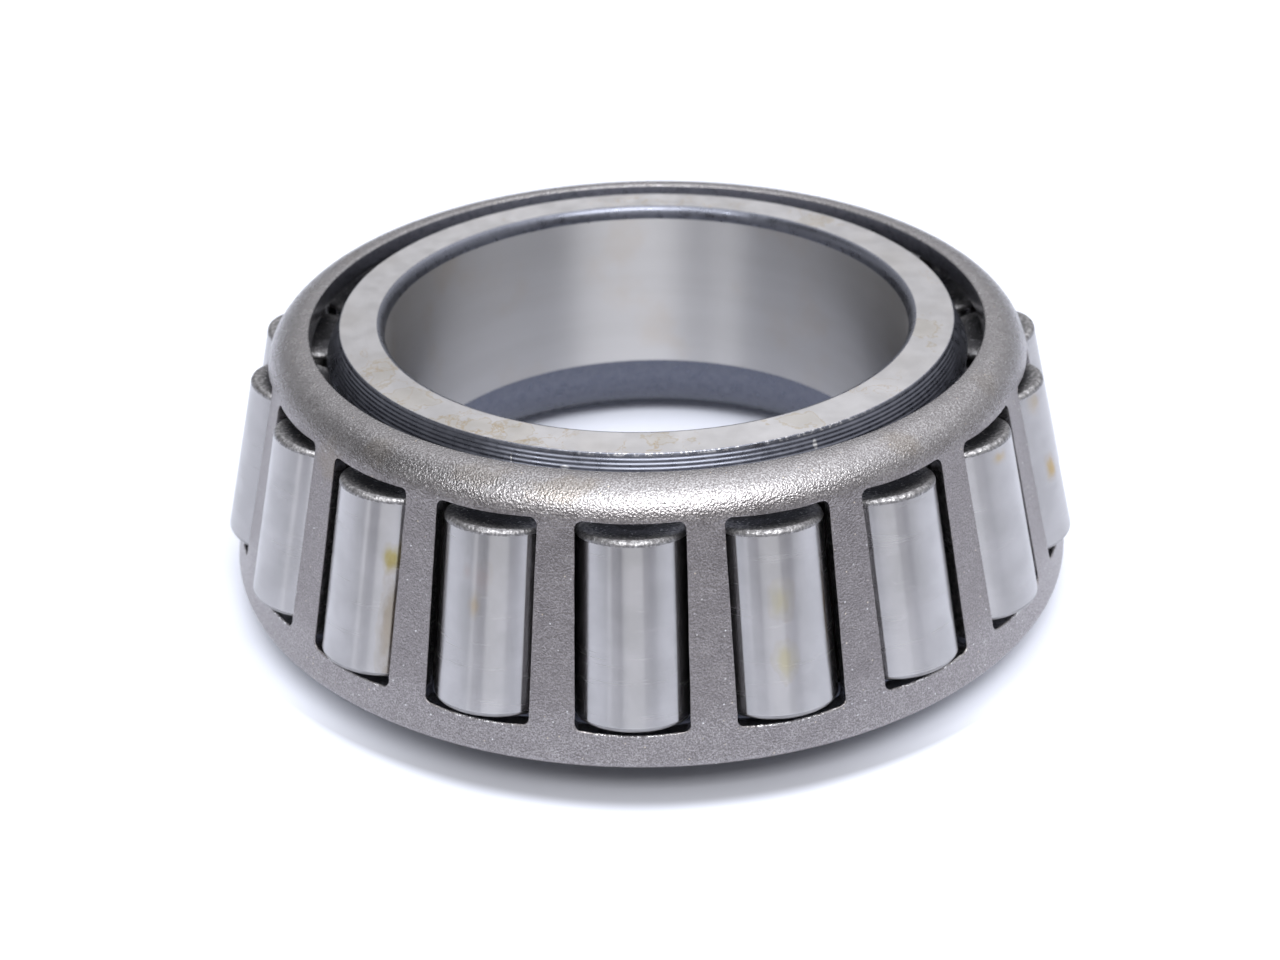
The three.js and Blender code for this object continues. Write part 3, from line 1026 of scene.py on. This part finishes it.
def window_loops(window, wander):
    """loops of points from the sector's border outside, through the window, to the border
    inside; and the slot of the faces after each loop"""
    loops, slots = [], []
    edges = [
        (edge, FOOT_ROLL.get(edge.part, EDGE_ROLL), drift) for edge, drift in zip(window, wander)
    ]
    # outside: from the border in to the rolled edge
    borders = OUTSIDE.borders(window)
    meets = [on_sheet(*moved_out(edge, roll + drift), OUTSIDE) for edge, roll, drift in edges]
    for k in range(OUTSIDE_LOOPS):
        share = 1 - (1 - k / OUTSIDE_LOOPS) ** 1.25
        loops.append(OUTSIDE.loop(borders, meets, share))
        slots.append(SHEET_SLOT)
    # rolled edge
    for angle in np.linspace(0, math.pi / 2, ROLL_LOOPS):
        cos, sin = math.cos(angle), math.sin(angle)
        loop = []
        for edge, roll, drift in edges:
            y, rise = moved_out(edge, (roll + drift) * (1 - sin) + drift * sin * 0.6)
            depth = depth_at(y, rise, OUTSIDE) - roll * (1 - cos)
            loop.append(in_window(y, rise, depth))
        loops.append(loop)
        slots.append(ROLLED)
    slots[-1] = CUT_SLOT
    # wall, ending on the bevel of the inside edge
    for k in range(1, WALL_ROWS):
        share = k / WALL_ROWS
        loop = []
        for edge, roll, drift in edges:
            y, rise = moved_out(edge, drift * 0.6 * (1 - share))
            start = depth_at(y, rise, OUTSIDE) - roll
            end = depth_at(y, rise, INSIDE) + INNER_BREAK
            loop.append(in_window(y, rise, start + (end - start) * share))
        loops.append(loop)
        slots.append(CUT_SLOT)
    loops.append([
        in_window(edge.y, edge.rise, depth_at(edge.y, edge.rise, INSIDE) + INNER_BREAK)
        for edge in window
    ])
    slots.append(CUT_SLOT)
    # inside: out to the border
    meets = [on_sheet(*moved_out(edge, INNER_BREAK), INSIDE) for edge in window]
    borders = INSIDE.borders(window)
    for k in range(INSIDE_LOOPS):
        loops.append(INSIDE.loop(meets, borders, k / (INSIDE_LOOPS - 1)))
        slots.append(SHEET_SLOT)
    return loops, slots


def shoulder_profile():
    """over the shoulder and round the rim to the inside; and the range of its cut segments"""
    points = [OUTSIDE.on_bend(a) for a in np.linspace(OUTSIDE.patch_top(), math.pi / 2, 22)]
    cut_from = len(points) + 4
    points += arc(RIM_R + 0.22, CAGE_TOP_Z - 0.22, 0.22, 0.22, 90, 180, 6)
    points += [(RIM_R, CAGE_TOP_Z - 0.8), (RIM_R, CAGE_TOP_Z - 1.5)]
    points += arc(RIM_R + 0.10, CAGE_TOP_Z - SHEET + 0.10, 0.10, 0.10, 180, 270, 3)
    cut_to = len(points) - 1
    points += [INSIDE.on_bend(a) for a in np.linspace(math.pi / 2, INSIDE.patch_top(), 10)]
    return points, range(cut_from, cut_to)


def foot_profile():
    """down round the foot to the inside; and the range of its cut segments"""
    corner = 0.42
    start_z, end_z = OUTSIDE.z_at(OUTSIDE.foot), INSIDE.z_at(INSIDE.foot)
    points = [(OUTSIDE.radius(z), z) for z in np.linspace(start_z, CAGE_FOOT_Z + 0.50, 10)]
    centre_r = OUTSIDE.radius(CAGE_FOOT_Z + 0.5) - corner
    for angle in np.linspace(0.0, -math.pi / 2, 7):
        z = CAGE_FOOT_Z + corner + corner * math.sin(angle)
        points.append((centre_r + corner * math.cos(angle), z))
    cut_from = len(points) - 1
    points += [
        (46.0, CAGE_FOOT_Z),
        (INSIDE.radius(CAGE_FOOT_Z) + 0.25, CAGE_FOOT_Z),
        (INSIDE.radius(CAGE_FOOT_Z + 0.25), CAGE_FOOT_Z + 0.25),
    ]
    cut_to = len(points) - 1
    points += [(INSIDE.radius(z), z) for z in np.linspace(CAGE_FOOT_Z + 0.7, end_z, 5)]
    return points, range(cut_from, cut_to)


def make_cage():
    rng = np.random.default_rng(11)
    window = window_outline()
    count = len(window)
    # azimuths of the border points along the top (1) and the foot (0) of a sector
    rows = [border(edge, 0, 1, 0.25, 0.75) for edge in window]
    strips = [
        (sorted(az for az, row in rows if row == 1), *shoulder_profile(), False),
        (sorted(az for az, row in rows if row == 0), *foot_profile(), True),
    ]
    verts, faces, face_slots = [], [], []
    for i in range(ROLLER_COUNT):
        turn = station_angle(i)
        cos, sin = math.cos(turn), math.sin(turn)
        loops, slots = window_loops(window, edge_wander(rng, count))
        base = len(verts)
        for loop in loops:
            verts += [(x * cos - y * sin, x * sin + y * cos, z) for x, y, z in loop]
        for k in range(len(loops) - 1):
            for j, edge in enumerate(window):
                a0, a1 = base + k * count + j, base + k * count + (j + 1) % count
                faces.append((a0, a1, a1 + count, a0 + count))
                slot = slots[k]
                if slot == ROLLED:
                    burr = edge.part == "B" and 0.04 < edge.share < 0.96
                    slot = BURR_SLOT if burr else SHEET_SLOT
                face_slots.append(slot)
        # strips over the shoulder and round the foot, joining the outside to the inside
        for azimuths, points, cut, flip in strips:
            base, across = len(verts), len(azimuths)
            for r, z in points:
                verts += [(r * math.cos(az + turn), r * math.sin(az + turn), z) for az in azimuths]
            for k in range(len(points) - 1):
                for j in range(across - 1):
                    a0 = base + k * across + j
                    a1, b0, b1 = a0 + 1, a0 + across, a0 + across + 1
                    faces.append((a0, b0, b1, a1) if flip else (a0, a1, b1, b0))
                    face_slots.append(CUT_SLOT if k in cut else SHEET_SLOT)
    return make_mesh(
        "cage_visual", verts, faces, CAGE_MATERIALS, face_slots, sharp=50, merge=0.004
    )


# ---------------------------------------------------------------- the bearing
def attach(ob, node, piece):
    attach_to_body(ob, node)
    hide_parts(piece)


attach(make_ring(), "cone", "inner_ring")
attach(make_cage(), "cage", "cage")
for node, roller in make_rollers().items():
    attach(roller, node, node)


# ---------------------------------------------------------------- stage, in metres
def floor_material():
    """white paper, with a painted shadow: darker in a ring under the front of the bearing"""
    net = Surface("floor_paper")
    reach = net.length(net.pos)
    beyond = net.step(reach, span=(0.0470, 0.0490))
    within = net.step(reach, span=(0.0360, 0.0420), to=(1.0, 0.0))
    behind = net.step(net.xyz(net.pos)[1], span=(-0.0460, -0.0290))
    light = net.math("MAXIMUM", net.math("MAXIMUM", beyond, within), behind)
    # the darker colour is the painted shadow under the front of the bearing
    colour = net.mix((0.42, 0.425, 0.46), over=(0.865, 0.892, 0.985), by=light)
    inputs = net.shader.inputs
    net.put(inputs["Base Color"], colour)
    net.put(inputs["Roughness"], 0.85)
    net.put(inputs["Specular IOR Level"], 0.1)
    # clear from below, so the underside of the part can be looked at; and clear within the
    # first millimetre, or the bottom face would reflect only the dark sheet it lies on
    backfacing = net.new("NewGeometry").outputs["Backfacing"]
    close = net.math("LESS_THAN", net.new("LightPath").outputs["Ray Length"], 0.0010)
    blend = net.new("MixShader")
    net.put(blend.inputs[0], net.math("MAXIMUM", backfacing, close))
    net.put(blend.inputs[1], net.shader.outputs[0])
    net.put(blend.inputs[2], net.new("BsdfTransparent").outputs[0])
    net.put(net.out.inputs[0], blend.outputs[0])
    return net.material


def make_floor():
    left, right, front, back = -0.9, 0.9, -0.16, 1.2
    corners = [(left, front, 0), (right, front, 0), (right, back, 0), (left, back, 0)]
    mesh = bpy.data.meshes.new("floor")
    mesh.from_pydata(corners, [], [(0, 1, 2, 3)])
    ob = link_object("floor", mesh)
    ob.location.z = -0.00002  # just clear of the ring's bottom face
    mesh.materials.append(floor_material())


# The tent's rings of light: (azimuth in degrees from the front, positive to the right; light)
DARK = (0.05, 0.035, 0.04)
LOW_RING = [
    (-180, 0.32), (-125, 0.54), (-90, 0.54), (-60, 0.38), (-47, 0.34), (-45.5, 0.75),
    (-39.5, 0.75), (-37.5, DARK), (-19, DARK), (-15, 0.57), (20, 0.57), (24, DARK),
    (44, (0.08, 0.065, 0.07)), (52, 0.40), (66, 0.50), (100, 0.58), (125, 0.50), (180, 0.32),
]
MIDDLE_RING = [
    (-180, 0.82), (-125, 0.48), (-90, 0.20), (-60, 0.18), (-47, 0.20), (-45.5, 0.9),
    (-39, 0.9), (-37, 0.30), (-30, 0.64), (-8, 0.80), (-4, 0.85), (30, 0.76), (38, 0.24),
    (60, 0.52), (90, 0.70), (125, 0.80), (180, 0.82),
]
HIGH_RING = [
    (-180, 1.60), (-125, 0.45), (-90, 0.18), (-48, 0.20), (-36, 0.74), (-30, 1.0), (-8, 1.0),
    (34, 0.72), (52, 0.90), (90, 1.12), (125, 1.30), (180, 1.60),
]
OVERHEAD = (2.05, 2.08, 2.14)


def make_world():
    """white to the camera; to the metal, a tent of three rings of light and a plain cap"""
    world = bpy.data.worlds.new("tent")
    bpy.context.scene.world = world
    world.use_nodes = True
    net = Net(world.node_tree)
    x, y, z = net.xyz(net.new("TexCoord").outputs["Generated"])
    azimuth = net.mul(net.math("ARCTAN2", x, net.mul(y, -1.0)), 180 / math.pi)
    turn = net.math("DIVIDE", net.add(azimuth, 180.0), 360.0)

    def colour_of(light):
        if isinstance(light, tuple):
            return (*light, 1)
        return (light, light, light * 1.03, 1)

    def ring(stops):
        ramp = net.new("ValToRGB")
        net.put(ramp.inputs[0], turn)
        elements = ramp.color_ramp.elements
        for element, position, stop in ((elements[0], 0.0, stops[0]), (elements[1], 1.0, stops[-1])):
            element.position = position
            element.color = colour_of(stop[1])
        for degrees, light in stops[1:-1]:
            elements.new((degrees + 180) / 360).color = colour_of(light)
        return ramp.outputs[0]

    def climb(low, high):
        """0 to 1 between two elevations in degrees"""
        return net.step(z, span=(math.sin(low * DEG), math.sin(high * DEG)))

    light = net.mix(ring(LOW_RING), over=ring(MIDDLE_RING), by=climb(14, 27))
    light = net.mix(light, over=ring(HIGH_RING), by=climb(30, 42))
    light = net.mix(light, over=OVERHEAD, by=climb(60, 74))
    blend = net.new("MixShader")
    net.put(blend.inputs[0], net.new("LightPath").outputs["Is Camera Ray"])
    for socket, colour in ((blend.inputs[1], light), (blend.inputs[2], (0.985, 0.99, 1.0))):
        background = net.new("Background")
        net.put(background.inputs[0], colour)
        net.put(socket, background.outputs[0])
    net.put(net.new("OutputWorld").inputs[0], blend.outputs[0])


def area_light(name, at, size, watts, colour):
    """rectangular light aimed at the middle of the bearing"""
    light = bpy.data.lights.new(name, "AREA")
    light.shape = "RECTANGLE"
    light.size, light.size_y = size
    light.energy = watts
    light.color = colour
    ob = link_object(name, light)
    ob.location = at
    ob.rotation_mode = "QUATERNION"
    aim = Vector((0, 0, 0.015)) - Vector(at)
    ob.rotation_quaternion = aim.to_track_quat("-Z", "Y")


def make_camera():
    camera = bpy.data.cameras.new("camera")
    ob = link_object("camera", camera)
    camera.sensor_width = 36
    camera.lens = 48.402
    camera.clip_start = 0.01
    camera.clip_end = 20
    # the columns are the camera's right, up and backward directions
    place = Matrix([
        [0.99903, -0.002062, 0.043975],
        [0.038986, 0.505412, -0.861997],
        [-0.020448, 0.862875, 0.505003],
    ]).to_4x4()
    place.translation = Vector((7.686, -172.475, 108.698)) * MM
    ob.matrix_world = place
    focus_distance = 0.152
    focus = link_object("focus", None)
    focus.location = place.translation - place.to_3x3().col[2] * focus_distance
    camera.dof.use_dof = True
    camera.dof.focus_object = focus
    camera.dof.aperture_fstop = 50
    bpy.context.scene.camera = ob


make_floor()
make_world()
area_light(
    "key", at=(0.1985, -0.7957, 1.2505), size=(0.98, 0.54), watts=13.8, colour=(0.985, 0.99, 1.0)
)
area_light(
    "strip", at=(-0.672, -0.746, 1.130), size=(0.20, 0.50), watts=2.8, colour=(0.98, 0.99, 1.0)
)
make_camera()

view = bpy.context.scene.view_settings
view.view_transform = "Standard"
view.look = "None"
view.exposure = 0
view.gamma = 1

bpy.context.view_layer.update()
